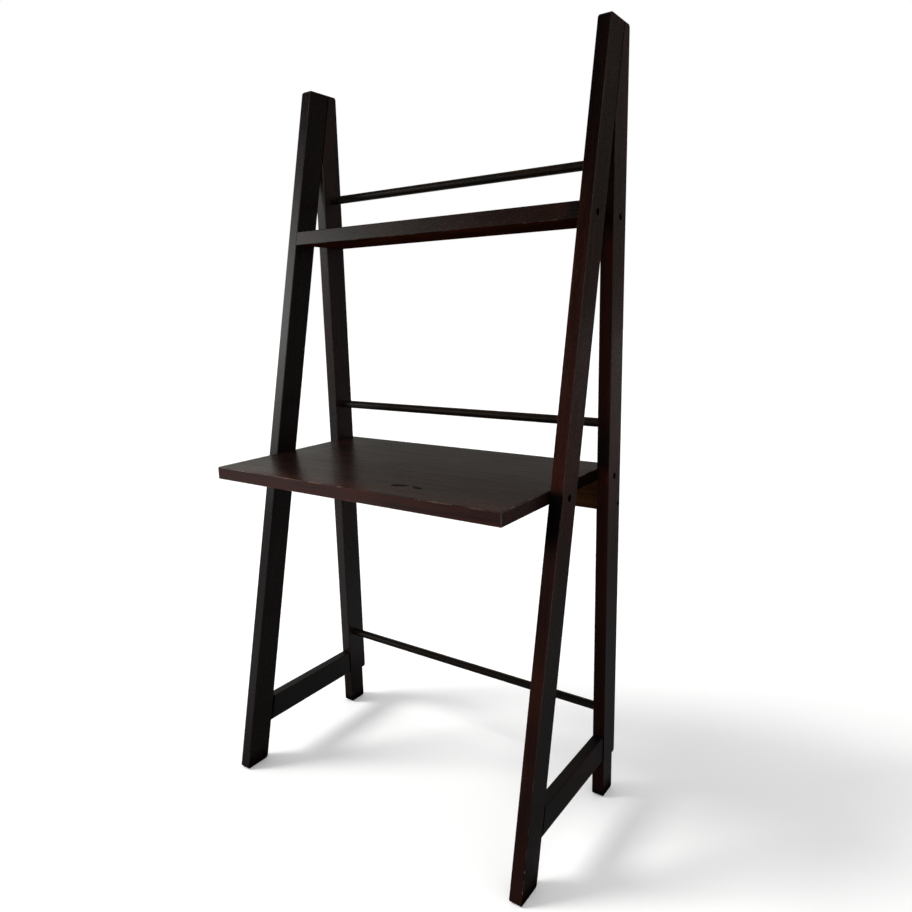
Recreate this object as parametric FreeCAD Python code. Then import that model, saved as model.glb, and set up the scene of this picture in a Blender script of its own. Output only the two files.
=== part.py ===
import FreeCAD, Part
import math
import os

# Ladder desk: two A-shaped side frames carry a desktop and an upper shelf, with three round rails
# and an apron between the back legs. Millimetres, +Z up. The origin is on the floor, in the middle
# of the desk's width and depth. The front faces -Y, the left side is -X.

Vector = FreeCAD.Vector

# ---------------------------------------------------------------- overall
overall_height = 1610.0
inner_width = 736.0               # clear width between the side frames
desktop_depth = 442.0             # the deepest piece, and so the depth of the desk

# ---------------------------------------------------------------- side frames
leg_thickness = 27.0              # across the desk
leg_width = 60.0                  # square to the leg's own length
foot_setback = 9.5                # front foot behind the desktop's front edge
apex_width = 25.5                 # what is left of the back leg at its top, behind the seam
baseboard_depth = 12.0            # notch that lets the back legs stand over a baseboard
baseboard_height = 87.0
leg_edge_round = 1.5
foot_corner_clip = 3.5
top_corner_clip = 4.0

stretcher_height = 92.5           # underside of the board low in each side frame
stretcher_width = 58.0
stretcher_recess = 1.75           # each face of the board behind the faces of the legs
tenon_thickness = 9.0
tenon_length = 20.0
tenon_shoulder = 9.0              # above and below each tenon

spline_thickness = 6.0            # loose tongue inside the seam of the two legs
spline_depth = 14.0               # into each leg
spline_margin = 22.0              # from each end of the seam

# ---------------------------------------------------------------- boards across the desk
desktop_height = 760.0            # top face
desktop_thickness = 27.0
shelf_drop = 329.0                # top face of the upper shelf below the top of the side frames
shelf_thickness = 32.0
board_edge_round = 2.0
board_corner_clip = 2.0

apron_thickness = 18.0
apron_width = 73.0
apron_edge_round = 1.5

# ---------------------------------------------------------------- round rails
rail_diameter = 19.0
rail_socket_depth = 12.0
lower_rail_height = 203.0
middle_rail_rise = 92.0           # above the desktop
upper_rail_rise = 83.0            # above the shelf

# ---------------------------------------------------------------- bolts and barrel nuts
bolt_diameter = 6.0
bolt_length = 60.0                # under the head
bolt_head_diameter = 10.0
bolt_head_height = 6.0
hex_key_size = 5.0                # across the flats
hex_key_depth = 3.0
counterbore_depth = 12.0
bolt_past_nut = 9.0               # bolt tip beyond the middle of the barrel nut
nut_diameter = 10.0
nut_length = 12.0
nut_slot_width = 1.4
nut_slot_depth = 1.2

desktop_bolt_inset = 31.0         # from the front face of the front leg, and the rear of the back leg
shelf_bolt_inset = 27.5
board_bolt_drop = 4.5             # below the middle of the desktop, and of the shelf
apron_bolt_rise = 17.5            # above the underside of the apron

# ---------------------------------------------------------------- apron dowels and foot pads
dowel_diameter = 8.0
dowel_length = 36.0
dowel_seat = 12.0                 # how far a dowel goes into the leg
dowel_drop = 18.0                 # below the top of the apron

pad_diameter = 20.0
pad_thickness = 1.5

# ---------------------------------------------------------------- clearances
bolt_clearance = 0.3              # round the bolt's shank
board_head_clearance = 2.0        # round the head of a bolt into the desktop or the shelf
apron_head_clearance = 0.4        # round the head of a bolt into the apron
thread_clearance = 0.1            # between a bolt and its barrel nut
glue_clearance = 0.1              # round tenons, splines, dowels, rails and nuts
end_clearance = 0.5               # beyond the ends of tenons, splines, dowels, rails and nuts
tip_clearance = 3.0               # beyond the tip of a bolt

# ---------------------------------------------------------------- places worked out from the sizes
LEFT = -1
RIGHT = 1
SIDES = ((LEFT, "left"), (RIGHT, "right"))

frame_inside = inner_width / 2
frame_outside = frame_inside + leg_thickness
leg_middle = frame_inside + leg_thickness / 2
desk_front = -desktop_depth / 2
desk_rear = desktop_depth / 2
foot_front = desk_front + foot_setback

# The front leg runs from its foot to the seam, which meets the top apex_width before the rear face.
frame_reach = desk_rear - apex_width - foot_front
rake = math.atan2(frame_reach, overall_height)
rake -= math.asin(leg_width / math.hypot(frame_reach, overall_height))
level_width = leg_width / math.cos(rake)          # the front leg measured level, from front to rear

back_leg_front = desk_rear - leg_width
back_leg_middle = desk_rear - leg_width / 2
seam_bottom = overall_height - (leg_width - apex_width) / math.tan(rake)
seam_length = (overall_height - seam_bottom) / math.cos(rake)

desktop_underside = desktop_height - desktop_thickness
shelf_height = overall_height - shelf_drop
shelf_underside = shelf_height - shelf_thickness
apron_underside = desktop_underside - apron_width
apron_front = desk_rear - apron_thickness
apron_middle = desk_rear - apron_thickness / 2
apron_bolt_height = apron_underside + apron_bolt_rise
apron_dowel_height = desktop_underside - dowel_drop

bolt_reach = bolt_length - (leg_thickness - counterbore_depth)    # bolt inside the board it pulls in
nut_setback = bolt_reach - bolt_past_nut

rail_heights = {
    "lower_rail": lower_rail_height,
    "middle_rail": desktop_height + middle_rail_rise,
    "upper_rail": shelf_height + upper_rail_rise,
}


def front_leg_front(height):
    """Depth of the front leg's front face at a height."""
    return foot_front + height * math.tan(rake)


def front_leg_rear(height):
    """Depth of the front leg's rear face at a height."""
    return front_leg_front(height) + level_width


# ---------------------------------------------------------------- shaping
def side_board(corners, middle, thickness):
    """Board cut to an outline seen from the side. A corner is its depth, its height and its clip."""
    sharp = [Vector(middle - thickness / 2, depth, height) for depth, height, _ in corners]
    outline = []
    for index, (_, _, clip) in enumerate(corners):
        corner = sharp[index]
        if clip > 0:
            for neighbour in (sharp[index - 1], sharp[(index + 1) % len(sharp)]):
                outline.append(corner + (neighbour - corner).normalize() * clip)
        else:
            outline.append(corner)
    outline.append(outline[0])
    return Part.Face(Part.makePolygon(outline)).extrude(Vector(thickness, 0, 0))


def runs_along_x(edge):
    """True for an edge that runs straight across the desk."""
    return edge.BoundBox.YLength < 0.01 and edge.BoundBox.ZLength < 0.01


def lies_flat(edge):
    """True for an edge that lies level."""
    return edge.BoundBox.ZLength < 0.01


def ease_sides(board, radius):
    """Rounds the edges round both flat sides of a side board."""
    return board.makeFillet(radius, [edge for edge in board.Edges if not runs_along_x(edge)])


def ease_lengthwise(board, radius):
    """Rounds the long edges of a board that runs across the desk."""
    return board.makeFillet(radius, [edge for edge in board.Edges if runs_along_x(edge)])


def bar(start, direction, diameter, length):
    """Round bar or drilled hole."""
    return Part.makeCylinder(diameter / 2, length, start, direction)


# ---------------------------------------------------------------- bolts, barrel nuts and their holes
class Bolt:
    """One bolt from a side frame into the end of a board, and the nut bored in from nut_face."""

    def __init__(self, side, depth, height, head_clearance, nut_face, nut_direction):
        self.head_clearance = head_clearance
        self.inward = Vector(-side, 0, 0)
        self.mouth = Vector(side * frame_outside, depth, height)
        self.seat = self.mouth + self.inward * counterbore_depth
        self.nut_centre = Vector(side * (frame_inside - nut_setback), depth, height)
        self.nut_direction = nut_direction
        self.nut_mouth = self.nut_centre - nut_direction * nut_face

    def holes(self):
        """Counterbore, hole for the shank, and the bore that takes the nut."""
        head_hole = bar(self.mouth, self.inward, bolt_head_diameter + 2 * self.head_clearance,
                        counterbore_depth)
        shank_hole = bar(self.seat, self.inward, bolt_diameter + 2 * bolt_clearance,
                         bolt_length + tip_clearance)
        nut_bore_depth = (self.nut_centre - self.nut_mouth).Length + nut_length / 2 + end_clearance
        nut_bore = bar(self.nut_mouth, self.nut_direction, nut_diameter + 2 * glue_clearance,
                       nut_bore_depth)
        return [head_hole, shank_hole, nut_bore]

    def bolt(self):
        """Socket-head bolt without its thread."""
        head = bar(self.seat, self.inward * -1, bolt_head_diameter, bolt_head_height)
        shank = bar(self.seat, self.inward, bolt_diameter, bolt_length)
        return head.fuse(shank).cut(self.key_socket()).removeSplitter()

    def key_socket(self):
        """Hexagonal socket in the top of the head."""
        top = self.seat - self.inward * bolt_head_height
        corner_radius = hex_key_size / math.sqrt(3)
        corners = []
        for step in range(7):
            angle = math.radians(60 * step)
            corners.append(top + Vector(0, math.cos(angle), math.sin(angle)) * corner_radius)
        return Part.Face(Part.makePolygon(corners)).extrude(self.inward * hex_key_depth)

    def nut(self):
        """Barrel nut across the bolt, with a screwdriver slot in the end at the mouth of its bore."""
        start = self.nut_centre - self.nut_direction * (nut_length / 2)
        barrel = bar(start, self.nut_direction, nut_diameter, nut_length)
        thread = bar(self.nut_centre - self.inward * nut_diameter, self.inward,
                     bolt_diameter + 2 * thread_clearance, 2 * nut_diameter)
        across = self.nut_direction.cross(self.inward)
        slot = Part.makeBox(nut_diameter * 2, nut_slot_width, nut_slot_depth)
        slot.translate(Vector(-nut_diameter, -nut_slot_width / 2, 0))
        turn = FreeCAD.Rotation(self.inward, across, self.nut_direction, "ZXY")
        slot.Placement = FreeCAD.Placement(start, turn).multiply(slot.Placement)
        return barrel.cut(thread).cut(slot)


def board_bolts(underside, thickness, inset):
    """Four bolts of a board: one through each leg. Their nuts are bored up from its underside."""
    up = Vector(0, 0, 1)
    rise = thickness / 2 - board_bolt_drop
    height = underside + rise
    bolts = []
    for side, _ in SIDES:
        for depth in (front_leg_front(height) + inset, desk_rear - inset):
            bolts.append(Bolt(side, depth, height, board_head_clearance, rise, up))
    return bolts


desktop_bolts = board_bolts(desktop_underside, desktop_thickness, desktop_bolt_inset)
shelf_bolts = board_bolts(shelf_underside, shelf_thickness, shelf_bolt_inset)
apron_bolts = [Bolt(side, apron_middle, apron_bolt_height, apron_head_clearance,
                    apron_thickness / 2, Vector(0, -1, 0))
               for side, _ in SIDES]


# ---------------------------------------------------------------- stretcher tenons, seam splines
def stretcher_tenons(side, clearance, beyond):
    """Board that runs from tenon to tenon through a stretcher, or with clearances its mortises."""
    reach = tenon_length + beyond
    low = stretcher_height + tenon_shoulder - clearance
    high = stretcher_height + stretcher_width - tenon_shoulder + clearance
    corners = (
        (front_leg_rear(low) - reach, low, 0),
        (back_leg_front + reach, low, 0),
        (back_leg_front + reach, high, 0),
        (front_leg_rear(high) - reach, high, 0),
    )
    return side_board(corners, side * leg_middle, tenon_thickness + 2 * clearance)


def seam_spline(side, clearance, beyond):
    """Loose tongue in the seam of a front and a back leg, or with clearances its two grooves."""
    square = Vector(0, math.cos(rake), -math.sin(rake))
    along = Vector(0, math.sin(rake), math.cos(rake))
    middle = Vector(0, back_leg_front, seam_bottom) + along * (seam_length / 2)
    half_length = along * (seam_length / 2 - spline_margin + beyond)
    half_depth = square * (spline_depth + beyond)
    places = (
        middle - half_length - half_depth,
        middle - half_length + half_depth,
        middle + half_length + half_depth,
        middle + half_length - half_depth,
    )
    corners = [(place.y, place.z, 0) for place in places]
    return side_board(corners, side * leg_middle, spline_thickness + 2 * clearance)


# ---------------------------------------------------------------- rails, apron dowels and foot pads
def rail(height):
    """Round rail between the back legs, in a blind socket at each end."""
    reach = frame_inside + rail_socket_depth - end_clearance
    return bar(Vector(-reach, back_leg_middle, height), Vector(1, 0, 0), rail_diameter, 2 * reach)


def rail_sockets(height):
    """The two sockets of one rail, drilled in from the inner faces of the back legs."""
    sockets = []
    for side, _ in SIDES:
        mouth = Vector(side * frame_inside, back_leg_middle, height)
        sockets.append(bar(mouth, Vector(side, 0, 0), rail_diameter + 2 * glue_clearance,
                           rail_socket_depth))
    return sockets


def apron_dowel(side, clearance, beyond):
    """Dowel that keeps an end of the apron from turning, or with clearances its hole."""
    inward = Vector(-side, 0, 0)
    start = Vector(side * (frame_inside + dowel_seat), apron_middle, apron_dowel_height)
    return bar(start - inward * beyond, inward, dowel_diameter + 2 * clearance,
               dowel_length + 2 * beyond)


def foot_pads():
    """Round pad under the middle of each foot."""
    front = front_leg_front(pad_thickness) + level_width / 2
    rear = (back_leg_front + desk_rear - baseboard_depth) / 2
    return [bar(Vector(side * leg_middle, depth, 0), Vector(0, 0, 1), pad_diameter, pad_thickness)
            for side, _ in SIDES for depth in (front, rear)]


# ---------------------------------------------------------------- drilling
def drillings():
    """Every drilled hole. One that crosses a joint is one solid, so that both pieces match."""
    holes = []
    for fixing in desktop_bolts + shelf_bolts + apron_bolts:
        holes += fixing.holes()
    for height in rail_heights.values():
        holes += rail_sockets(height)
    for side, _ in SIDES:
        holes.append(apron_dowel(side, glue_clearance, end_clearance))
    return holes


all_drillings = drillings()


def drilled(board):
    """The board with each drilled hole that reaches it."""
    reaching = [hole for hole in all_drillings if hole.BoundBox.intersect(board.BoundBox)]
    return board.cut(reaching)


def jointed(leg, side):
    """The leg with its share of the side frame's mortises and grooves, and its drilled holes."""
    mortises = stretcher_tenons(side, glue_clearance, end_clearance)
    grooves = seam_spline(side, glue_clearance, end_clearance)
    return drilled(leg.cut([mortises, grooves]))


# ---------------------------------------------------------------- wooden pieces
def front_leg(side):
    """Raked leg of one width all the way, cut level at the foot and at the top."""
    corners = (
        (front_leg_front(pad_thickness), pad_thickness, foot_corner_clip),
        (front_leg_rear(pad_thickness), pad_thickness, foot_corner_clip),
        (front_leg_rear(overall_height), overall_height, 0),
        (front_leg_front(overall_height), overall_height, top_corner_clip),
    )
    board = side_board(corners, side * leg_middle, leg_thickness)
    return jointed(ease_sides(board, leg_edge_round), side)


def back_leg(side):
    """Upright leg, notched over the baseboard and tapered at the top along the front leg's rear."""
    notch_rear = desk_rear - baseboard_depth
    corners = (
        (back_leg_front, pad_thickness, foot_corner_clip),
        (notch_rear, pad_thickness, foot_corner_clip),
        (notch_rear, baseboard_height, 0),
        (desk_rear, baseboard_height, foot_corner_clip),
        (desk_rear, overall_height, top_corner_clip),
        (desk_rear - apex_width, overall_height, 0),
        (back_leg_front, seam_bottom, 0),
    )
    board = side_board(corners, side * leg_middle, leg_thickness)
    return jointed(ease_sides(board, leg_edge_round), side)


def side_stretcher(side):
    """Board low between the legs of a side frame, with a tenon at each end, cut to the rake."""
    top = stretcher_height + stretcher_width
    corners = (
        (front_leg_rear(stretcher_height), stretcher_height, 0),
        (back_leg_front, stretcher_height, 0),
        (back_leg_front, top, 0),
        (front_leg_rear(top), top, 0),
    )
    board = side_board(corners, side * leg_middle, leg_thickness - 2 * stretcher_recess)
    long_edges = [edge for edge in board.Edges if lies_flat(edge) and not runs_along_x(edge)]
    board = board.makeFillet(leg_edge_round, long_edges)
    return board.fuse(stretcher_tenons(side, 0, 0)).removeSplitter()


def desktop():
    """Plain slab between the side frames, with clipped corners and eased edges."""
    slab = Part.makeBox(inner_width, desktop_depth, desktop_thickness,
                        Vector(-frame_inside, desk_front, desktop_underside))
    slab = slab.makeChamfer(board_corner_clip, [edge for edge in slab.Edges if not lies_flat(edge)])
    slab = slab.makeFillet(board_edge_round, [edge for edge in slab.Edges if lies_flat(edge)])
    return drilled(slab)


def upper_shelf():
    """Slab between the side frames. Its front edge is planed to the rake, flush with the legs."""
    corners = (
        (front_leg_front(shelf_underside), shelf_underside, 0),
        (desk_rear, shelf_underside, 0),
        (desk_rear, shelf_height, 0),
        (front_leg_front(shelf_height), shelf_height, 0),
    )
    return drilled(ease_lengthwise(side_board(corners, 0, inner_width), board_edge_round))


def back_apron():
    """Board on edge under the rear of the desktop, flush with the rear of the back legs."""
    corners = (
        (apron_front, apron_underside, 0),
        (desk_rear, apron_underside, 0),
        (desk_rear, desktop_underside, 0),
        (apron_front, desktop_underside, 0),
    )
    return drilled(ease_lengthwise(side_board(corners, 0, inner_width), apron_edge_round))


# ---------------------------------------------------------------- nodes
nodes = {
    "desktop": desktop(),
    "upper_shelf": upper_shelf(),
    "back_apron": back_apron(),
    "desktop_bolts": Part.makeCompound([fixing.bolt() for fixing in desktop_bolts]),
    "desktop_barrel_nuts": Part.makeCompound([fixing.nut() for fixing in desktop_bolts]),
    "shelf_bolts": Part.makeCompound([fixing.bolt() for fixing in shelf_bolts]),
    "shelf_barrel_nuts": Part.makeCompound([fixing.nut() for fixing in shelf_bolts]),
    "apron_bolts": Part.makeCompound([fixing.bolt() for fixing in apron_bolts]),
    "apron_barrel_nuts": Part.makeCompound([fixing.nut() for fixing in apron_bolts]),
    "apron_dowels": Part.makeCompound([apron_dowel(side, 0, 0) for side, _ in SIDES]),
    "foot_pads": Part.makeCompound(foot_pads()),
}
for side, side_name in SIDES:
    nodes[side_name + "_front_leg"] = front_leg(side)
    nodes[side_name + "_back_leg"] = back_leg(side)
    nodes[side_name + "_side_stretcher"] = side_stretcher(side)
    nodes[side_name + "_seam_spline"] = seam_spline(side, 0, 0)
for rail_name, rail_height in rail_heights.items():
    nodes[rail_name] = rail(rail_height)

os.makedirs("parts", exist_ok=True)
for node_name, shape in nodes.items():
    shape.exportStep("parts/" + node_name + ".step")
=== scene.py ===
import math
from collections import namedtuple
from contextlib import contextmanager

import bpy
from mathutils import Matrix, Vector


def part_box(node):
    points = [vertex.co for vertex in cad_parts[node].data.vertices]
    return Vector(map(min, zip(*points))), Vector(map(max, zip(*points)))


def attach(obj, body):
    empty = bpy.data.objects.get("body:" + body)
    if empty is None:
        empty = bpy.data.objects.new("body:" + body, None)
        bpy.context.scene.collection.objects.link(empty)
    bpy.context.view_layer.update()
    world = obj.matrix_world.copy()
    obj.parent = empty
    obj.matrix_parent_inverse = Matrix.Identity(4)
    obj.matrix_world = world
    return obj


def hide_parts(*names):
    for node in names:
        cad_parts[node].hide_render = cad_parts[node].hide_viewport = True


# Looks of a ladder desk in dark stained hardwood: two raked side frames that carry
# a desktop and an upper shelf, an apron behind the desktop and three round rails.
# Lengths are in metres. The desk stands on z = 0 and faces -y.

MM = 0.001

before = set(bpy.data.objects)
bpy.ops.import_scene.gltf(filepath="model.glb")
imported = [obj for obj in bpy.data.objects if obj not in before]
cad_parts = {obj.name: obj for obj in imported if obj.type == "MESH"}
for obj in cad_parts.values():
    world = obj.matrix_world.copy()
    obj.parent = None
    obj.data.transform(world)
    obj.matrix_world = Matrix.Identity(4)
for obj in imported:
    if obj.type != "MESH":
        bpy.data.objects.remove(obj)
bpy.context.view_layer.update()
bpy.ops.object.select_all(action="DESELECT")


# ------------------------------------------------------------------ places on the desk
def low(node):
    """Lowest corner of a frame piece."""
    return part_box(node)[0]


def high(node):
    """Highest corner of a frame piece."""
    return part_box(node)[1]


FRAME_OUTSIDE = high("right_front_leg").x
FRAME_INSIDE = low("right_front_leg").x
LEG_WIDTH = high("right_back_leg").y - low("right_back_leg").y
DESK_FRONT = low("desktop").y
DESK_REAR = high("desktop").y
DESK_TOP = high("desktop").z
BACK_LEG_FRONT = DESK_REAR - LEG_WIDTH
STRETCHER_BOTTOM = low("left_side_stretcher").z
STRETCHER_TOP = high("left_side_stretcher").z
FOOT_FRONT = DESK_FRONT + 9.5 * MM       # front face of the front legs, carried down to the floor
RAKE = math.radians(12.12)               # how far the front legs lean back
SEAM_FOOT = FOOT_FRONT + LEG_WIDTH / math.cos(RAKE)   # rear face of the front legs, at the floor


def front_leg_front(height):
    """Depth of the front legs' front face at a height."""
    return FOOT_FRONT + height * math.tan(RAKE)


# ------------------------------------------------------------------ shader kit
Place = namedtuple("Place", "x y z")


class Value:
    """An output of a node tree, used as a number in Python expressions."""

    def __init__(self, shader, socket):
        self.shader = shader
        self.socket = socket

    def __add__(self, other):
        return self.shader.math("ADD", self, other)

    def __radd__(self, other):
        return self.shader.math("ADD", other, self)

    def __sub__(self, other):
        return self.shader.math("SUBTRACT", self, other)

    def __rsub__(self, other):
        return self.shader.math("SUBTRACT", other, self)

    def __mul__(self, other):
        return self.shader.math("MULTIPLY", self, other)

    def __rmul__(self, other):
        return self.shader.math("MULTIPLY", other, self)

    def __abs__(self):
        return self.shader.math("ABSOLUTE", self)

    def larger(self, *others):
        """The largest of this value and the others."""
        largest = self
        for other in others:
            largest = self.shader.math("MAXIMUM", largest, other)
        return largest

    def rise(self, start, end):
        """0 up to start, 1 from end, and a smooth step between them."""
        limits = {"Value": self, "From Min": start, "From Max": end}
        return self.shader.add("ShaderNodeMapRange", limits, interpolation_type="SMOOTHSTEP")

    def fall(self, start, end):
        """1 up to start, 0 from end, and a smooth step between them."""
        return 1 - self.rise(start, end)

    def between(self, start, full, fading, end):
        """1 from full to fading, 0 outside start and end, and smooth steps between them."""
        return self.rise(start, full) * self.fall(fading, end)


class Shader:
    """The nodes of a material or of the world, added from Python."""

    def __init__(self, owner):
        owner.use_nodes = True
        self.owner = owner
        self.tree = owner.node_tree
        self.tree.nodes.clear()

    def add(self, kind, inputs, output=0, **settings):
        """A node of this kind: its settings first, then the values or links of its sockets."""
        node = self.tree.nodes.new(kind)
        for name, setting in settings.items():
            setattr(node, name, setting)
        for name, value in inputs.items():
            if isinstance(value, Value):
                self.tree.links.new(value.socket, node.inputs[name])
            else:
                node.inputs[name].default_value = value
        return Value(self, node.outputs[output]) if node.outputs else None

    def math(self, operation, first, second=0.0):
        """A sum on one or two values."""
        return self.add("ShaderNodeMath", {0: first, 1: second}, operation=operation)

    def mix(self, factor, first, second):
        """A colour that goes from the first to the second as the factor rises."""
        inputs = {"Factor": factor, 6: first, 7: second}
        return self.add("ShaderNodeMix", inputs, output=2, data_type="RGBA")

    def noise(self, point, scale, detail, roughness=0.5):
        """Soft random patches, with this many of them in a metre."""
        inputs = {"Vector": point, "Scale": scale, "Detail": detail, "Roughness": roughness}
        return self.add("ShaderNodeTexNoise", inputs)

    def coordinates(self):
        """Where a point of the object is."""
        return self.add("ShaderNodeTexCoord", {}, output="Object")

    def parts(self, vector):
        """The three coordinates of a vector."""
        inputs = {"Vector": vector}
        return Place(*[self.add("ShaderNodeSeparateXYZ", inputs, output=axis) for axis in "XYZ"])

    def ray(self, kind):
        """1 for light rays of this kind."""
        return self.add("ShaderNodeLightPath", {}, output=kind)

    def bump(self, height, depth, strength):
        """A relief of this depth, for a surface's normal."""
        inputs = {"Height": height, "Distance": depth, "Strength": strength}
        return self.add("ShaderNodeBump", inputs)

    def principled(self, inputs):
        """A surface that is described by its colour, roughness and the like."""
        return self.add("ShaderNodeBsdfPrincipled", inputs)

    def surface(self, shaded):
        """Leads a shaded surface to the output and gives the finished material."""
        self.add("ShaderNodeOutputMaterial", {"Surface": shaded})
        return self.owner


def new_material(name):
    """An empty material, ready for its nodes."""
    return Shader(bpy.data.materials.new(name))


def colour(red, green, blue):
    """A colour written as it looks on a screen, 0 to 255, turned into a node's linear colour."""
    linear = []
    for level in (red, green, blue):
        share = level / 255
        linear.append(share / 12.92 if share <= 0.04045 else ((share + 0.055) / 1.055) ** 2.4)
    return (*linear, 1.0)


def grey(level):
    """A linear grey, from 0 for black to 1 for white."""
    return (level, level, level, 1)


# ------------------------------------------------------------------ hardwood
# Each turn brings the grain of a piece to the x axis, where the patterns are drawn.
ALONG_X = (0, 0, 0)
ALONG_Y = (0, 0, math.radians(-90))
ALONG_Z = (0, math.radians(90), 0)
ALONG_RAKE = (RAKE, math.radians(90), 0)

PORE = colour(8, 4, 3)
INK_AND_SHADE = colour(7, 5, 5)                # stain that has dried almost black, and the colour of painted shade
RUBBED = colour(122, 92, 76)
GLAZE = colour(62, 26, 7)            # orange-brown where the stain is thin
UNLACQUERED = 0.9                    # roughness of wood that has lost its lacquer
EDGE_WEAR = (0.9 * MM, 1.9 * MM)     # wear fades out between these distances from an edge


def hardwood(name, turn, dark, light, rough, shine=0.5, from_edge=None, wear=0.0,
             ink_and_shade=None, bare=None, bare_below=False, thin=0.0):
    """Hardwood under stain and lacquer. turn brings its grain to the x axis.

    The stain varies from dark to light, and is rubbed off as far as wear says where from_edge is
    near 0. ink_and_shade gives how black it is at a place, from black stain and from painted shade,
    and bare how far the lacquer is missing there.
    bare_below leaves faces that look down unlacquered, and thin is the share of the lacquer that
    is missing in bands along the grain.
    """
    shader = new_material(name)
    point = shader.coordinates()
    place = shader.parts(point)
    grain = shader.add("ShaderNodeMapping", {"Vector": point, "Rotation": turn})

    def streaks(along, across, detail, roughness=0.5):
        """Noise drawn out along the grain, with features of these lengths."""
        stretch = (1 / along, 1 / across, 1 / across)
        drawn = shader.add("ShaderNodeMapping", {"Vector": grain, "Scale": stretch})
        return shader.noise(drawn, 1.0, detail, roughness)

    board = streaks(0.7, 0.06, 2)
    band = streaks(0.30, 0.010, 3)
    fibre = streaks(0.07, 0.0015, 3, 0.6)
    pore = streaks(0.012, 0.0006, 1).rise(0.60, 0.72)
    cloud = shader.noise(point, 9.0, 3)
    tone = 0.4 * board + 0.38 * band + 0.22 * fibre
    stain = shader.mix(tone.rise(0.38, 0.62), dark, light)
    stain = shader.mix(0.22 * cloud.rise(0.5, 0.72), stain, GLAZE)
    stain = shader.mix(0.4 * pore, stain, PORE)
    if ink_and_shade:
        stain = shader.mix(ink_and_shade(place), stain, INK_AND_SHADE)
    roughness = rough + 0.12 * (cloud - 0.5) + 0.08 * (fibre - 0.5) + 0.08 * pore

    if from_edge:
        patch = shader.noise(point, 26.0, 4, 0.65)
        rubbed = from_edge(place).fall(*EDGE_WEAR) * patch.rise(0.56 - 0.12 * wear, 0.66)
        stain = shader.mix(rubbed * wear, stain, RUBBED)
        roughness = roughness + 0.2 * rubbed

    height = 0.6 * fibre - 0.5 * pore + 0.2 * shader.noise(point, 420.0, 1)
    relief = shader.bump(height, 0.4 * MM, 0.16)

    def finished(how_rough, how_shiny):
        """This wood with a surface of this roughness and shine."""
        return shader.principled({
            "Base Color": stain,
            "Roughness": how_rough,
            "Specular IOR Level": how_shiny,
            "Normal": relief,
        })

    missing = []
    if bare:
        missing.append(bare(place))
    if bare_below:
        facing = shader.parts(shader.add("ShaderNodeNewGeometry", {}, output="Normal"))
        missing.append(facing.z.fall(-0.75, -0.45))
    if thin:
        missing.append(thin * band.rise(0.45, 0.62))
    lacquered = finished(roughness, shine)
    if not missing:
        return shader.surface(lacquered)
    layers = {0: missing[0].larger(*missing[1:]), 1: lacquered, 2: finished(UNLACQUERED, 0.0)}
    return shader.surface(shader.add("ShaderNodeMixShader", layers))


# ------------------------------------------------------------------ edges, faces and joints
FACE_SKIN = (0.3 * MM, 1.6 * MM)     # what marks a face fades out between these depths
HOLE_SKIN = (0.5 * MM, 2.0 * MM)     # and what marks a hole comes in between these
JOINT_LINE = (1.1 * MM, 2.0 * MM)    # the dark line in a joint fades out between these distances
LEGS_MEET = (1.38, 1.42)             # heights, just below where the back legs reach the front legs


def inside(along, start, end):
    """How far a coordinate lies inside the nearer of two faces."""
    return (end - start) / 2 - abs(along - (start + end) / 2)


def at_end_face(along, face):
    """1 on the face where a board ends at this coordinate."""
    return along.rise(face - 1.2 * MM, face - 0.2 * MM)


def on_right(place):
    """1 on the right half of the desk."""
    return place.x.rise(-0.1, 0.1)


def on_left(place):
    """1 on the left half of the desk."""
    return place.x.fall(-0.1, 0.1)


def from_board_edge(node):
    """Distance from a board's nearest edge, for places on its surface."""
    def distance(place):
        faces = zip(place, low(node), high(node))
        first, second, third = [inside(*face) for face in faces]
        return first + second + third - first.larger(second, third)
    return distance


def front_leg_depth(place):
    """Depth of a place in a front leg, square to its front face."""
    return (place.y - FOOT_FRONT) * math.cos(RAKE) - place.z * math.sin(RAKE)


def back_leg_depth(place):
    """Depth of a place in a back leg, from its front face."""
    return place.y - BACK_LEG_FRONT


def within_leg(place, leg_depth):
    """How far a place lies inside a leg's front or rear face, and inside its sides."""
    across = inside(leg_depth(place), 0, LEG_WIDTH)
    beside = inside(abs(place.x), FRAME_INSIDE, FRAME_OUTSIDE)
    return across, beside


def from_leg_edge(leg_depth):
    """Distance from a leg's nearest long edge, for places on its long faces."""
    def distance(place):
        across, beside = within_leg(place, leg_depth)
        return across + beside
    return distance


def in_leg_hole(place, leg_depth):
    """1 in the holes and on the end grain of a leg, away from its long faces."""
    across, beside = within_leg(place, leg_depth)
    return (across + beside - across.larger(beside)).rise(*HOLE_SKIN)


def on_leg_front(place, leg_depth):
    """1 on the front face of a leg."""
    return leg_depth(place).fall(*FACE_SKIN)


def from_front_leg_rear(place):
    """Distance from the plane of the front legs' rear faces, where the other pieces meet them."""
    return abs(place.y - place.z * math.tan(RAKE) - SEAM_FOOT)


def beside_stretcher(place):
    """1 at the heights of the stretchers."""
    return place.z.between(
        STRETCHER_BOTTOM - 1 * MM, STRETCHER_BOTTOM, STRETCHER_TOP, STRETCHER_TOP + 1 * MM)


def in_front_joints(place):
    """1 where a back leg or a stretcher meets the rear face of a front leg."""
    joined = place.z.rise(*LEGS_MEET).larger(beside_stretcher(place))
    return from_front_leg_rear(place).fall(*JOINT_LINE) * joined


def in_back_joints(place):
    """1 in the front joints, and where a stretcher meets a back leg."""
    beside = abs(back_leg_depth(place)).fall(*JOINT_LINE) * beside_stretcher(place)
    return in_front_joints(place).larger(beside)
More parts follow.
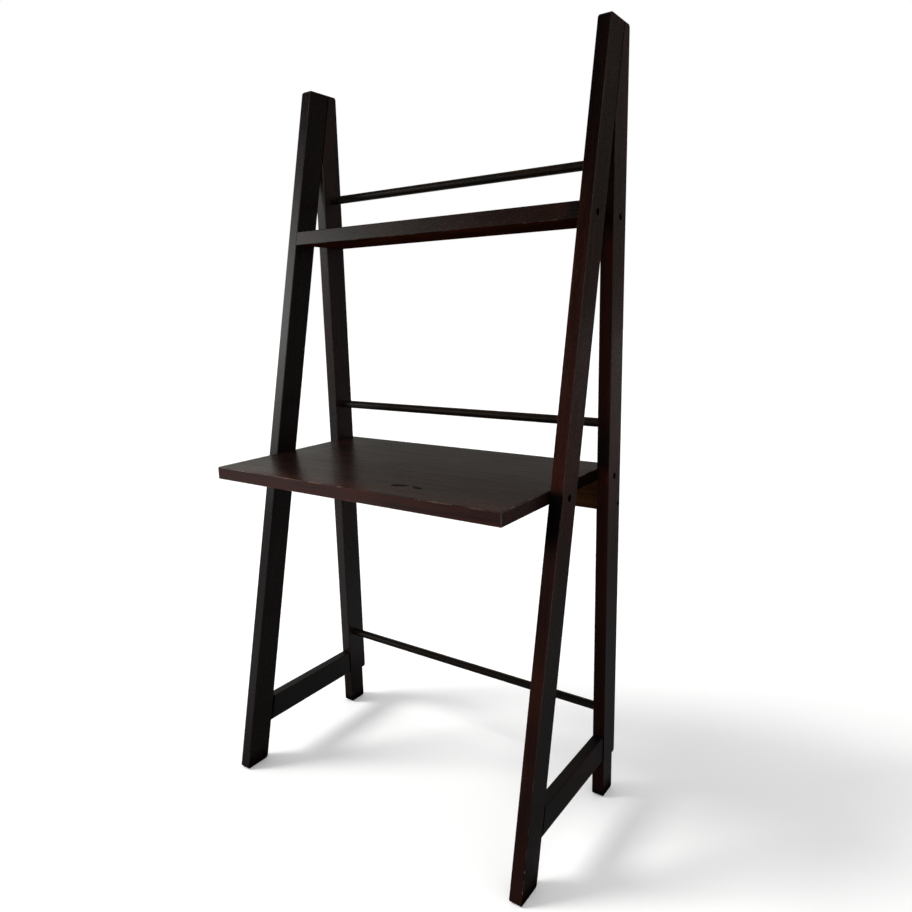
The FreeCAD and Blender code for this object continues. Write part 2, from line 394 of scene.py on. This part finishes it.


# ------------------------------------------------------------------ black stain, painted shade and missing lacquer
# Heights between which a mark comes in, and between which it fades out.
DARK_NEAR_FLOOR = (0.006, 0.045)
WORN_FOOT = (0.06, 0.2)
DARKER_LOWER_LEG = (0.35, 0.8)
# heights of the painted shade towards the front legs' tops
SHADED_TOP = (1.15, 1.5)
# heights of the desktop's painted shadow on the right front leg
UNDER_DESKTOP = (0.62, 0.685, 0.748, 0.768)
# heights of the painted shade on the back legs' front faces
BEHIND_DESKTOP = (0.74, 0.77, 0.8, 0.95)
BEHIND_SHELF = (1.2, 1.25, 1.3, 1.6)

# Distances from the middle of the desk, towards the rear.
DESKTOP_NOSE = (-0.205, -0.13)           # the painted shade on top is lighter in front of this
END_BY_FRONT_LEG = (-0.17, 0.0)          # painted shadow makes the end grain blacker behind this
END_BEHIND_LEG = (-0.01, 0.03)           # and unlacquered behind this, under the painted shadow
STRETCHER_BY_BACK_LEG = (-0.06, 0.1)     # the stretchers are black on top behind this

SHELF_RIGHT_END = (0.335, 0.36)          # from the middle of the desk to the right
STRETCHER_SHOULDER = (6.5 * MM, 8.5 * MM)      # from the front leg's rear plane


def at_foot(place):
    """1 near the floor, where the wood is darker and the lacquer is gone."""
    return place.z.fall(*DARK_NEAR_FLOOR)


def painted_desktop_shadow(place):
    """1 in front on the right front leg, under the desktop and beside it, where the desktop's shadow is
    painted black.
    """
    return on_leg_front(place, front_leg_depth) * place.z.between(*UNDER_DESKTOP) * on_right(place)


def front_leg_ink_and_shade(place):
    """Near-black colour on the front legs: darker towards their feet, painted shade towards their
    tops, and black in joints and holes.

    The left one is dark all over, and the right one's front carries the desktop's painted shadow,
    black under the desktop.
    """
    on_front = on_leg_front(place, front_leg_depth)
    foot = (1 - 0.65 * on_front) * (0.8 * place.z.fall(*DARKER_LOWER_LEG)).larger(at_foot(place))
    # painted shade: the front legs grow darker towards their tops
    top = place.z.rise(*SHADED_TOP) * (0.25 + 0.6 * on_front)
    in_gaps = in_front_joints(place).larger(in_leg_hole(place, front_leg_depth))
    return foot.larger(top, 0.85 * on_left(place), painted_desktop_shadow(place), in_gaps)


def back_leg_ink_and_shade(place):
    """Near-black colour on the back legs: darker towards their feet, and black in joints and holes.

    Painted shade makes it black in front too, behind the desktop and the shelf, and it is half as
    strong all over the left one.
    """
    on_front = on_leg_front(place, back_leg_depth)
    # painted shade on the front faces, behind the shelf and behind the desktop
    behind_shelf = 0.85 * on_front * place.z.between(*BEHIND_SHELF)
    behind_desktop = 0.9 * on_front * place.z.between(*BEHIND_DESKTOP)
    foot = (place.z.fall(*DARKER_LOWER_LEG) * (0.85 - 0.2 * on_front)).larger(at_foot(place))
    in_gaps = in_back_joints(place).larger(in_leg_hole(place, back_leg_depth))
    return foot.larger(behind_shelf, behind_desktop, 0.5 * on_left(place), in_gaps)


def front_leg_bare(place):
    """Lacquer is missing in joints and holes, and at the feet except in front.

    It is thin in front on the right leg, and missing there under the painted shadow of the desktop.
    """
    on_front = on_leg_front(place, front_leg_depth)
    thin_front = 0.35 * on_front * on_right(place)
    foot = at_foot(place) * (1 - on_front)
    in_gaps = in_front_joints(place).larger(in_leg_hole(place, front_leg_depth))
    return in_gaps.larger(thin_front, painted_desktop_shadow(place), foot)


def back_leg_bare(place):
    """Lacquer is missing in joints and holes, and at the feet.

    It is nearly gone in front on the right leg, and thin low down on the left one.
    """
    rubbed_front = 0.85 * on_leg_front(place, back_leg_depth) * on_right(place)
    left_foot = 0.6 * on_left(place) * place.z.fall(*WORN_FOOT)
    in_gaps = in_back_joints(place).larger(in_leg_hole(place, back_leg_depth))
    return in_gaps.larger(rubbed_front, at_foot(place), left_foot)


def on_desktop_end(place):
    """1 on the end grain of the desktop."""
    return at_end_face(abs(place.x), FRAME_INSIDE)


def desktop_ink_and_shade(place):
    """Painted shade on top of the desktop, less near its front edge, and black stain on the end grain,
    with a painted shadow on it behind the front legs.
    """
    # painted shade on top, lighter near the front edge; painted shadow adds to the end grain's stain
    # behind the front legs
    on_top = at_end_face(place.z, DESK_TOP) * (0.6 - 0.4 * place.y.fall(*DESKTOP_NOSE))
    return on_top.larger(on_desktop_end(place) * (0.45 + 0.5 * place.y.rise(*END_BY_FRONT_LEG)))


def desktop_bare(place):
    """Lacquer is missing on the end grain behind the front legs, under the painted shadow there."""
    return on_desktop_end(place) * place.y.rise(*END_BEHIND_LEG)


def shelf_ink_and_shade(place):
    """Darker on the shelf's front face, and nearly black at its right end, where painted shade of the
    leg lies.
    """
    on_front = (place.y - place.z * math.tan(RAKE) - FOOT_FRONT).fall(0.4 * MM, 1.8 * MM)
    # 0.42 darkens the whole front face; the rest is painted shade at the right end, beside the leg
    return on_front * (0.42 + 0.5 * place.x.rise(*SHELF_RIGHT_END))


def at_stretcher_ends(place):
    """1 where a stretcher comes out of a front leg, and where it meets a back leg."""
    return in_back_joints(place).larger(from_front_leg_rear(place).fall(*STRETCHER_SHOULDER))


def stretcher_ink(place):
    """Black stain on the stretchers: at their ends, and on top towards the back legs."""
    on_top = place.z.rise(STRETCHER_TOP - 1.5 * MM, STRETCHER_TOP)
    return at_stretcher_ends(place).larger(0.85 * on_top * place.y.rise(*STRETCHER_BY_BACK_LEG))


# ------------------------------------------------------------------ woods of the desk
LEG_STAIN = (colour(23, 7, 3), colour(43, 14, 7))

front_leg_wood = hardwood(
    "front_leg_wood", ALONG_RAKE, *LEG_STAIN, rough=0.24, shine=0.46,
    from_edge=from_leg_edge(front_leg_depth), wear=0.1, ink_and_shade=front_leg_ink_and_shade, bare=front_leg_bare)
back_leg_wood = hardwood(
    "back_leg_wood", ALONG_Z, *LEG_STAIN, rough=0.28, shine=0.65,
    from_edge=from_leg_edge(back_leg_depth), wear=0.1, ink_and_shade=back_leg_ink_and_shade, bare=back_leg_bare)
stretcher_wood = hardwood(
    "stretcher_wood", ALONG_Y, colour(9, 7, 6), colour(17, 13, 12), rough=0.38, shine=0.42,
    ink_and_shade=stretcher_ink, bare=at_stretcher_ends)
desktop_wood = hardwood(
    "desktop_wood", ALONG_X, colour(31, 12, 9), colour(56, 24, 17), rough=0.28, shine=0.56,
    from_edge=from_board_edge("desktop"), wear=0.85, ink_and_shade=desktop_ink_and_shade, bare=desktop_bare,
    bare_below=True, thin=0.18)
shelf_wood = hardwood(
    "shelf_wood", ALONG_X, colour(19, 7, 3), colour(38, 14, 7), rough=0.23,
    from_edge=from_board_edge("upper_shelf"), wear=0.5, ink_and_shade=shelf_ink_and_shade, bare_below=True)
apron_wood = hardwood(
    "apron_wood", ALONG_X, colour(46, 27, 14), colour(74, 47, 26), rough=0.9, shine=0.0)
rail_wood = hardwood(
    "rail_wood", ALONG_X, colour(12, 8, 4), colour(26, 17, 10), rough=0.32, shine=0.36)
bare_wood = hardwood(
    "bare_wood", ALONG_Y, colour(170, 132, 88), colour(205, 170, 122), rough=0.6)
bruised_wood = hardwood(
    "bruised_wood", ALONG_X, colour(17, 12, 10), colour(31, 24, 21), rough=0.7, shine=0.12)
chipped_wood = hardwood(
    "chipped_wood", ALONG_X, colour(78, 54, 42), colour(124, 95, 74), rough=0.7, shine=0.1)


# ------------------------------------------------------------------ steel and felt
def steel(name, tint, stained, rough, scale):
    """Steel with a fine even finish, a little stained where it has been handled."""
    shader = new_material(name)
    point = shader.coordinates()
    patch = shader.noise(point, scale, 4)
    grit = shader.noise(point, scale * 12, 2)
    return shader.surface(shader.principled({
        "Base Color": shader.mix(patch.rise(0.35, 0.7), tint, stained),
        "Roughness": rough + 0.2 * (patch - 0.5),
        "Metallic": 1.0,
        "Normal": shader.bump(grit, 0.1 * MM, 0.3),
    }))


def felt_fabric():
    """Pressed felt with a short fuzz."""
    shader = new_material("felt")
    fuzz = shader.noise(shader.coordinates(), 2600.0, 3, 0.7)
    return shader.surface(shader.principled({
        "Base Color": shader.mix(fuzz.rise(0.3, 0.7), colour(20, 15, 13), colour(52, 42, 37)),
        "Roughness": 0.95,
        "Sheen Weight": 0.3,
        "Normal": shader.bump(fuzz, 0.4 * MM, 0.8),
    }))


bolt_steel = steel("bolt_steel", colour(30, 30, 32), colour(18, 17, 17), 0.42, 160)
nut_steel = steel("nut_steel", colour(196, 196, 190), colour(150, 148, 140), 0.3, 220)
felt = felt_fabric()

finishes = {
    "left_front_leg": front_leg_wood,
    "right_front_leg": front_leg_wood,
    "left_back_leg": back_leg_wood,
    "right_back_leg": back_leg_wood,
    "left_side_stretcher": stretcher_wood,
    "right_side_stretcher": stretcher_wood,
    "left_seam_spline": bare_wood,
    "right_seam_spline": bare_wood,
    "desktop": desktop_wood,
    "upper_shelf": shelf_wood,
    "back_apron": apron_wood,
    "lower_rail": rail_wood,
    "middle_rail": rail_wood,
    "upper_rail": rail_wood,
    "apron_dowels": bare_wood,
    "desktop_bolts": bolt_steel,
    "shelf_bolts": bolt_steel,
    "apron_bolts": bolt_steel,
    "desktop_barrel_nuts": nut_steel,
    "shelf_barrel_nuts": nut_steel,
    "apron_barrel_nuts": nut_steel,
    "foot_pads": felt,
}
for node, finish in finishes.items():
    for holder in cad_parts[node].material_slots:
        holder.material = finish


# ------------------------------------------------------------------ modelling
@contextmanager
def editing(piece):
    """Edit mode on one piece, and on nothing else."""
    bpy.ops.object.select_all(action="DESELECT")
    piece.select_set(True)
    bpy.context.view_layer.objects.active = piece
    bpy.ops.object.mode_set(mode="EDIT")
    yield
    bpy.ops.object.mode_set(mode="OBJECT")


def choose(piece, element, wanted):
    """Selects the vertices, edges or faces of a piece in edit mode that the test wants."""
    bpy.ops.mesh.select_mode(type=element)
    bpy.ops.mesh.select_all(action="DESELECT")
    bpy.ops.object.mode_set(mode="OBJECT")
    kinds = {"VERT": piece.data.vertices, "EDGE": piece.data.edges, "FACE": piece.data.polygons}
    for part in kinds[element]:
        part.select = bool(wanted(part))
    bpy.ops.object.mode_set(mode="EDIT")


def ends_of(piece, edge):
    """The two ends of an edge."""
    return [piece.data.vertices[index].co for index in edge.vertices]


def is_rim(piece, edge):
    """Whether an edge of a round piece lies round one of its ends, square to its own z axis."""
    first, second = ends_of(piece, edge)
    return abs(first.z - second.z) < 0.01 * MM


def middle_of(piece, edge):
    """Middle of an edge."""
    first, second = ends_of(piece, edge)
    return (first + second) / 2


def carve(piece, cutter):
    """Takes the cutter's shape out of the piece, and keeps the cutter's finish in the hollow."""
    hollow = piece.modifiers.new("hollow", "BOOLEAN")
    hollow.object = cutter
    hollow.operation = "DIFFERENCE"
    hollow.solver = "EXACT"
    hollow.material_mode = "TRANSFER"
    bpy.context.view_layer.objects.active = piece
    bpy.ops.object.modifier_apply(modifier=hollow.name)
    bpy.data.objects.remove(cutter)


def settle(piece):
    """Puts a new piece's place into its mesh, and rides it on the desk."""
    bpy.ops.object.select_all(action="DESELECT")
    piece.select_set(True)
    bpy.context.view_layer.objects.active = piece
    bpy.ops.object.transform_apply(location=True, rotation=True, scale=True)
    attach(piece, "root")


def again(piece, name, shift, turn=0.0, roll=0.0):
    """Another copy of a finished piece, rolled about x, turned about z and moved, with its own mesh."""
    twin = piece.copy()
    twin.data = piece.data.copy()
    twin.name = name
    bpy.context.scene.collection.objects.link(twin)
    turned_over = Matrix.Rotation(turn, 4, "Z") @ Matrix.Rotation(roll, 4, "X")
    twin.data.transform(Matrix.Translation(shift) @ turned_over)
    return twin


# ------------------------------------------------------------------ knocked and chipped boards
FLAT = math.radians(0.6)          # faces that differ by less than this are one face
CORNER_CHIP_DEPTH = 15 * MM       # below the desktop's top face


def knocked_copy(node):
    """A copy of a frame piece with clean faces, ready to be knocked about."""
    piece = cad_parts[node].copy()
    piece.data = piece.data.copy()
    piece.name = "knocked_" + node
    piece.parent = None
    bpy.context.scene.collection.objects.link(piece)
    with editing(piece):
        bpy.ops.mesh.select_all(action="SELECT")
        bpy.ops.mesh.remove_doubles(threshold=0.001 * MM)
        bpy.ops.mesh.dissolve_limited(angle_limit=FLAT)
    settle(piece)
    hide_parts(node)
    return piece


def knock(piece, place, size, lining, seed, lean=0.0, turn=0.0):
    """A small ragged hollow: its middle, its half lengths in mm, its finish, its lean and its turn."""
    bpy.ops.mesh.primitive_ico_sphere_add(subdivisions=3, radius=1, location=(0, 0, 0))
    tool = bpy.context.object
    with editing(tool):
        bpy.ops.mesh.select_all(action="SELECT")
        bpy.ops.transform.vertex_random(offset=0.22, normal=0.7, seed=seed)
        bpy.ops.transform.resize(value=[half * MM for half in size], center_override=(0, 0, 0))
        bpy.ops.transform.rotate(value=-lean, orient_axis="X", center_override=(0, 0, 0))
        bpy.ops.transform.rotate(value=-turn, orient_axis="Z", center_override=(0, 0, 0))
        bpy.ops.transform.translate(value=place)
    tool.data.materials.append(lining)
    carve(piece, tool)


# Knocks on top of the desktop, in millimetres and degrees.
desktop = knocked_copy("desktop")
for along, deep, size, turn, lining, seed in (
        (98.0, -157.0, (17.0, 8.5, 0.8), 24, bruised_wood, 1),
        (111.0, -151.5, (8.0, 3.2, 0.8), 20, bruised_wood, 2),
        (143.0, -156.0, (12.5, 5.8, 1.1), -12, bruised_wood, 3),
        (127.0, -147.0, (3.4, 2.4, 0.7), 0, bruised_wood, 8),
        (187.0, -121.0, (2.6, 1.8, 0.35), 0, bruised_wood, 4),
        (0.0, -221.0, (6.0, 1.8, 1.6), 0, chipped_wood, 5),
        (-214.0, -221.0, (4.0, 1.5, 1.3), 0, chipped_wood, 6),
        (243.0, -221.0, (9.0, 1.3, 1.2), 0, chipped_wood, 7)):
    middle = (along * MM, deep * MM, DESK_TOP)
    knock(desktop, middle, size, lining, seed, turn=math.radians(turn))
corner = (high("desktop").x, DESK_FRONT, DESK_TOP - CORNER_CHIP_DEPTH)
knock(desktop, corner, (0.9, 0.9, 8.0), chipped_wood, 9)

# Chips up the outer front edge of the right front leg, in millimetres.
worn_leg = knocked_copy("right_front_leg")
for height, size, seed in (
        (69.0, (1.1, 1.2, 5.5), 11),
        (51.0, (0.7, 0.7, 8.0), 13),
        (30.0, (1.2, 1.3, 5.0), 12)):
    arris = (FRAME_OUTSIDE, front_leg_front(height * MM), height * MM)
    knock(worn_leg, arris, size, chipped_wood, seed, lean=RAKE)


# ------------------------------------------------------------------ socket-head bolts
HEAD_TOP = high("shelf_bolts").x
HEAD_RADIUS = (high("shelf_bolts").z - low("shelf_bolts").z) / 2
HEAD_HEIGHT = 6 * MM
HEAD_BEVEL = 0.7 * MM
KNURL_GAP = 0.12 * MM
KNURL_DEPTH = 0.18 * MM
SHANK_RADIUS = 3 * MM
SHANK_LENGTH = 60 * MM
TIP_LENGTH = 0.8 * MM
TIP_SHARE = 0.75          # the tip's width as a share of the shank's
KEY_SIZE = 5 * MM         # across the flats
KEY_DEPTH = 3 * MM
ROLL_STEP = 0.37          # each bolt ended its tightening at another angle


def rod_along_x(vertices, radius, length, middle):
    """A plain rod laid along the x axis, with its own z axis pointing right."""
    bpy.ops.mesh.primitive_cylinder_add(
        vertices=vertices, radius=radius, depth=length,
        location=(middle, 0, 0), rotation=(0, math.radians(90), 0))
    return bpy.context.object


def socket_bolt():
    """A bolt along the x axis with its head to the right, knurled, bevelled and with its socket."""
    bolt = rod_along_x(48, HEAD_RADIUS, HEAD_HEIGHT, HEAD_TOP - HEAD_HEIGHT / 2)

    def round_head_top(edge):
        """Whether an edge lies round the outer end of the head."""
        return is_rim(bolt, edge) and middle_of(bolt, edge).z > HEAD_HEIGHT * 0.45

    def on_head_flank(face):
        """Whether a face is one of those round the head."""
        return abs(face.normal.z) < 0.05 and face.center.z > -HEAD_HEIGHT / 2

    with editing(bolt):
        choose(bolt, "FACE", lambda face: face.normal.z < -0.9)
        bpy.ops.mesh.inset(thickness=HEAD_RADIUS - SHANK_RADIUS)
        shank = (TIP_LENGTH - SHANK_LENGTH, 0, 0)
        bpy.ops.mesh.extrude_region_move(TRANSFORM_OT_translate={"value": shank})
        bpy.ops.mesh.extrude_region_move(TRANSFORM_OT_translate={"value": (-TIP_LENGTH, 0, 0)})
        bpy.ops.transform.resize(value=(1, TIP_SHARE, TIP_SHARE))
        choose(bolt, "EDGE", round_head_top)
        bpy.ops.mesh.bevel(offset=HEAD_BEVEL, segments=3, affect="EDGES")
        choose(bolt, "FACE", on_head_flank)
        bpy.ops.mesh.inset(thickness=KNURL_GAP, depth=-KNURL_DEPTH, use_individual=True)
    bolt.data.materials.append(bolt_steel)
    key = rod_along_x(6, KEY_SIZE / math.sqrt(3), 2 * KEY_DEPTH, HEAD_TOP)
    key.data.materials.append(bolt_steel)
    carve(bolt, key)
    settle(bolt)
    bpy.ops.object.shade_smooth_by_angle(angle=math.radians(25))
    return bolt


pattern_bolt = socket_bolt()
roll = 0.0
for board, rows in (("desktop", ("front", "back")), ("shelf", ("front", "back")), ("apron", ("back",))):
    node = board + "_bolts"
    depths = {"front": low(node).y + HEAD_RADIUS, "back": high(node).y - HEAD_RADIUS}
    height = (low(node).z + high(node).z) / 2
    for row in rows:
        for side, turn in (("right", 0.0), ("left", math.pi)):
            name = side + "_" + row + "_" + board + "_bolt"
            bolt = again(pattern_bolt, name, (0, depths[row], height), turn, roll)
            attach(bolt, "root")
            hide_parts(node)
            roll += ROLL_STEP
bpy.data.objects.remove(pattern_bolt)


# ------------------------------------------------------------------ felt foot pads
PAD_RADIUS = 10 * MM
PAD_ROUNDING = 0.5 * MM


def felt_pad():
    """A round pad under the left front leg, pressed in a little at its rim."""
    thick = high("foot_pads").z
    middle = (low("foot_pads").x + PAD_RADIUS, low("foot_pads").y + PAD_RADIUS, thick / 2)
    bpy.ops.mesh.primitive_cylinder_add(vertices=48, radius=PAD_RADIUS, depth=thick, location=middle)
    pad = bpy.context.object
    with editing(pad):
        choose(pad, "EDGE", lambda edge: is_rim(pad, edge))
        bpy.ops.mesh.bevel(offset=PAD_ROUNDING, segments=3, affect="EDGES")
    bpy.ops.object.shade_smooth_by_angle(angle=math.radians(40))
    pad.data.materials.append(felt)
    settle(pad)
    return pad


left_front_pad = felt_pad()
left_front_pad.name = "left_front_pad"
pad_span = high("foot_pads") - low("foot_pads") - Vector((2 * PAD_RADIUS, 2 * PAD_RADIUS, 0))
pads = [
    left_front_pad,
    again(left_front_pad, "right_front_pad", (pad_span.x, 0, 0)),
    again(left_front_pad, "left_back_pad", (0, pad_span.y, 0)),
    again(left_front_pad, "right_back_pad", (pad_span.x, pad_span.y, 0)),
]
for pad in pads:
    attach(pad, "root")
    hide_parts("foot_pads")


# ------------------------------------------------------------------ camera
CAMERA_PLACE = (0.97214, -1.21143, 1.0925)
CAMERA_TURN = math.radians(34.972)       # to the left, from looking straight at the desk's front
CAMERA_DIP = math.radians(11.475)        # below level
CAMERA_ROLL = math.radians(-1.362)

camera = bpy.data.objects.new("camera", bpy.data.cameras.new("camera"))
bpy.context.scene.collection.objects.link(camera)
camera.data.sensor_width = 36
camera.data.lens = 28.67
turned = Matrix.Rotation(CAMERA_TURN, 4, "Z")
lowered = Matrix.Rotation(math.radians(90) - CAMERA_DIP, 4, "X")
tilted = Matrix.Rotation(CAMERA_ROLL, 4, "Z")
camera.matrix_world = Matrix.Translation(CAMERA_PLACE) @ turned @ lowered @ tilted
bpy.context.scene.camera = camera


# ------------------------------------------------------------------ studio
bpy.context.scene.view_settings.view_transform = "Standard"

ROOM_GLOW = 0.64          # light on the desk from all round

# What the lacquer mirrors of the room, by direction.
WINDOW_SHEEN = 3.4        # low window, front left
FILL_SHEEN = 0.8          # pale room, front right
WALL_SHEEN = 0.2          # pale wall on the left
REAR_SHEEN = 0.055        # room behind the desk
LEFT_REAR_SHEEN = 0.1     # its left half adds this
FRONT_SHEEN = 0.03        # foot of the room in front


def lamp(name, kind, energy, tint, place, aim):
    """A lamp turned towards what it lights, which neither the camera nor the lacquer sees."""
    light = bpy.data.lights.new(name, kind)
    light.energy = energy
    light.color = tint
    holder = bpy.data.objects.new(name, light)
    bpy.context.scene.collection.objects.link(holder)
    holder.location = place
    holder.rotation_euler = (Vector(aim) - Vector(place)).to_track_quat("-Z", "Y").to_euler()
    holder.visible_camera = False
    holder.visible_glossy = False
    return light


def bearing_of(place):
    """Direction round the desk: 0 in front of it, a quarter turn on its left, a half turn behind."""
    return place.x.shader.math("ARCTAN2", -1 * place.x, -1 * place.y)


def in_pale_room(bearing):
    """1 towards the front right, where the room is pale, and less straight behind the desk."""
    right_front = bearing.between(-2.1, -1.7, -0.35, 0.08)
    return right_front.larger(0.3 * abs(bearing).rise(2.93, 3.1))


def studio_room():
    """The room round the desk: white to the camera, even light on the wood, and what lacquer mirrors."""
    shader = Shader(bpy.data.worlds.new("studio"))
    to_camera = shader.ray("Is Camera Ray")
    mirrored = shader.ray("Is Glossy Ray") + shader.ray("Is Transmission Ray")
    towards = shader.parts(shader.add("ShaderNodeTexCoord", {}, output="Generated"))
    x, y, z = towards
    bearing = bearing_of(towards)
    at_window = bearing.between(0.48, 1.05, 1.4, 1.75) * z.rise(-0.05, 0.3) * z.fall(0.26, 0.48)
    at_wall = bearing.between(1.9, 2.1, 2.26, 2.45)
    at_rear = y.rise(-0.3, 0.5) * (1 - 0.4 * z.rise(0.2, 0.6))
    rear = at_rear * (REAR_SHEEN + LEFT_REAR_SHEEN * x.fall(-0.4, 0))
    front = FRONT_SHEEN * y.fall(-0.5, 0) * z.fall(0.05, 0.25)
    sheen = WINDOW_SHEEN * at_window + WALL_SHEEN * at_wall + rear + front
    sheen = sheen + FILL_SHEEN * in_pale_room(bearing)
    strength = to_camera + mirrored * sheen + (1 - to_camera - mirrored) * ROOM_GLOW
    tint = shader.mix(mirrored * (1 - at_window), grey(1), (1, 1, 0.92, 1))
    backdrop = shader.add("ShaderNodeBackground", {"Color": tint, "Strength": strength})
    shader.add("ShaderNodeOutputWorld", {"Surface": backdrop})
    bpy.context.scene.world = shader.owner


def studio_floor():
    """A pale floor, white to the camera where no shadow falls, and mirrored dimly in the lacquer."""
    shader = new_material("floor")
    seen = shader.ray("Is Camera Ray")
    place = shader.parts(shader.coordinates())
    # The lacquer mirrors a painted floor: painted pools of light by the window, at the back foot and
    # near the desk, and a paler painted patch towards the pale room. Other rays see it evenly.
    by_window = (0.45 * place.y - place.x).rise(-0.1, 0.8)
    by_back_foot = 0.25 * place.y.between(0.0, 0.3, 0.5, 1.4)
    near = 0.15 * place.y.between(-1.8, -0.6, 0.6, 1.8)
    distance = shader.math("SQRT", place.x * place.x + place.y * place.y)
    pale = in_pale_room(bearing_of(place)) * distance.rise(0.9, 1.7)
    dim = shader.mix(by_window.larger(by_back_foot, near), grey(0.06), grey(0.28))
    dim = shader.mix(pale, dim, grey(0.6))
    paint = shader.mix(shader.ray("Is Glossy Ray"), grey(0.7), dim)
    paint = shader.mix(seen, paint, grey(0.97))
    matt = shader.add("ShaderNodeBsdfDiffuse", {"Color": paint})
    glow = shader.add("ShaderNodeEmission", {"Strength": 0.12 * seen})
    bpy.ops.mesh.primitive_plane_add(size=60, location=(0, 0, 0))
    floor = bpy.context.object
    floor.name = "floor"
    floor.data.materials.append(shader.surface(shader.add("ShaderNodeAddShader", {0: matt, 1: glow})))


key = lamp("key", "SUN", energy=1.8, tint=(1, 0.99, 0.97),
           place=(-2.6, -1.5, 3.8), aim=(0, 0, 0.8))
key.angle = math.radians(18)
window = lamp("window", "AREA", energy=22, tint=(0.94, 0.93, 1),
              place=(-2.8, -0.9, 1.35), aim=(0, 0, 1.1))
window.shape = "RECTANGLE"
window.size = 2.6
window.size_y = 1.6
studio_room()
studio_floor()
